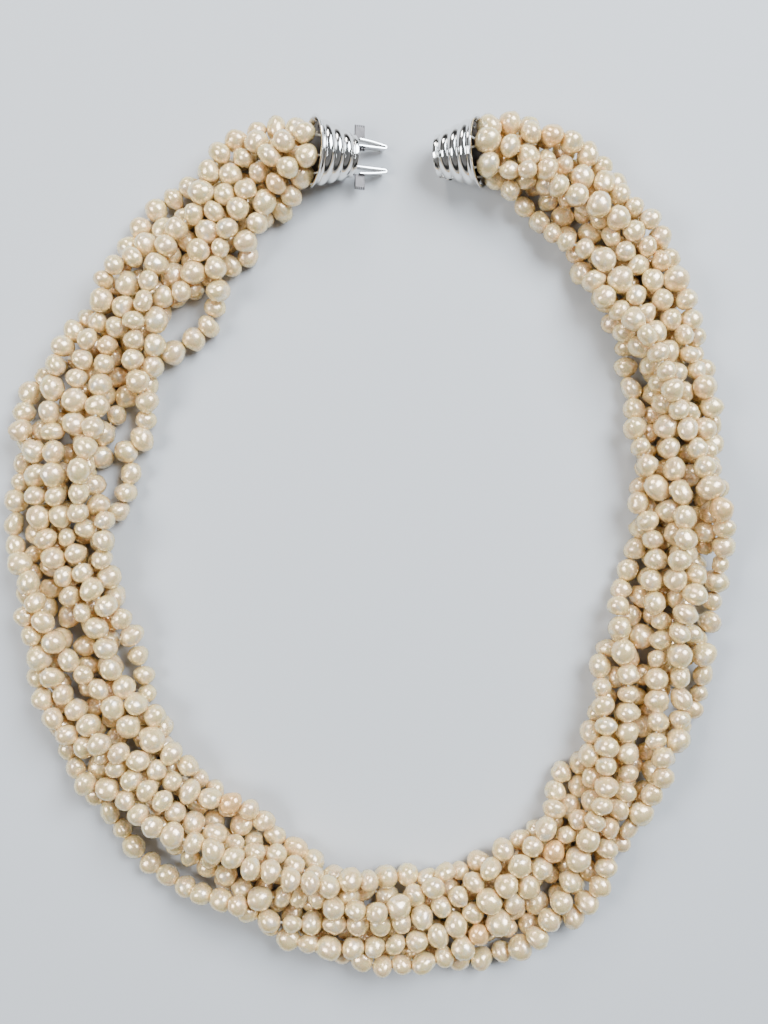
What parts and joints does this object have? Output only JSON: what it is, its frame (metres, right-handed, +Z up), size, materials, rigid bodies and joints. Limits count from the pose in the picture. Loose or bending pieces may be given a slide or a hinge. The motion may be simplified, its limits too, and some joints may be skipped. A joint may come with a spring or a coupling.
{
  "type": "multi-strand pearl necklace",
  "caption": "Twisted multi-strand necklace of off-round pearls, lying in an open loop, with a ribbed silver box clasp whose sprung tongues have side press tabs.",
  "frame": {"origin": "on the surface that the necklace lies on, under the middle of its outer bounds", "axes": "+Z up from the surface, +Y towards the clasp, +X from the tongue half to the box half"},
  "size_m": [0.1679, 0.1961, 0.0194],
  "materials": {
    "pearl": "cream pearl lustre",
    "polished_silver": "polished silver",
    "satin_silver": "satin silver",
    "silk": "twisted silk thread"
  },
  "bodies": {
    "front_strands": {"strand_1_front": "pearl", "strand_2_front": "pearl", "strand_3_front": "pearl", "strand_4_front": "pearl", "strand_5_front": "pearl", "strand_6_front": "pearl", "strand_7_front": "pearl", "strand_8_front": "pearl"},
    "left_arm": {"strand_1_left": "pearl", "strand_2_left": "pearl", "strand_3_left": "pearl", "strand_4_left": "pearl", "strand_5_left": "pearl", "strand_6_left": "pearl", "strand_7_left": "pearl", "strand_8_left": "pearl"},
    "right_arm": {"strand_1_right": "pearl", "strand_2_right": "pearl", "strand_3_right": "pearl", "strand_4_right": "pearl", "strand_5_right": "pearl", "strand_6_right": "pearl", "strand_7_right": "pearl", "strand_8_right": "pearl"},
    "tongue_half": {"tongue_half_cap": "polished_silver", "tongue_half_face_plate": "satin_silver", "upper_fixed_leaf": "polished_silver", "lower_fixed_leaf": "polished_silver", "latch_guide_pip": "satin_silver", "left_thread_plate": "satin_silver", "left_thread_end_1": "silk", "left_thread_end_2": "silk", "left_thread_end_3": "silk", "left_thread_end_4": "silk", "left_thread_end_5": "silk", "left_thread_end_6": "silk", "left_thread_end_7": "silk", "left_thread_end_8": "silk"},
    "box_half": {"box_half_cap": "polished_silver", "box_half_face_plate": "satin_silver", "right_thread_plate": "satin_silver", "right_thread_end_1": "silk", "right_thread_end_2": "silk", "right_thread_end_3": "silk", "right_thread_end_4": "silk", "right_thread_end_5": "silk", "right_thread_end_6": "silk", "right_thread_end_7": "silk", "right_thread_end_8": "silk"},
    "upper_spring": {"upper_spring_leaf": "polished_silver", "upper_press_tab": "satin_silver"},
    "lower_spring": {"lower_spring_leaf": "polished_silver", "lower_press_tab": "satin_silver"}
  },
  "joints": [
    {"name": "left_arm_spread", "type": "hinge", "parent": "front_strands", "child": "left_arm", "pos_m": [-0.06604, -0.05931, 0], "axis": [0, 0, -1], "range_deg": [-18, 0]},
    {"name": "right_arm_spread", "type": "hinge", "parent": "front_strands", "child": "right_arm", "pos_m": [0.07413, -0.05162, 0], "axis": [0, 0, 1], "range_deg": [-18, 0]},
    {"name": "left_clasp_swing", "type": "hinge", "parent": "left_arm", "child": "tongue_half", "pos_m": [-0.01112, 0.0897, 0.03364], "axis": [0, -1, 0], "range_deg": [0, 20.56]},
    {"name": "right_clasp_swing", "type": "hinge", "parent": "right_arm", "child": "box_half", "pos_m": [0.02372, 0.0897, 0.03364], "axis": [0, 1, 0], "range_deg": [0, 20.56]},
    {"name": "upper_tab_press", "type": "hinge", "parent": "tongue_half", "child": "upper_spring", "pos_m": [0.00388, 0.0925, 0.0016], "axis": [0.3511, 0, 0.9363], "range_deg": [0, 8], "stiffness_Nm_per_rad": 0.1},
    {"name": "lower_tab_press", "type": "hinge", "parent": "tongue_half", "child": "lower_spring", "pos_m": [0.00388, 0.0869, 0.0016], "axis": [-0.3511, 0, -0.9363], "range_deg": [0, 8], "stiffness_Nm_per_rad": 0.1}
  ]
}
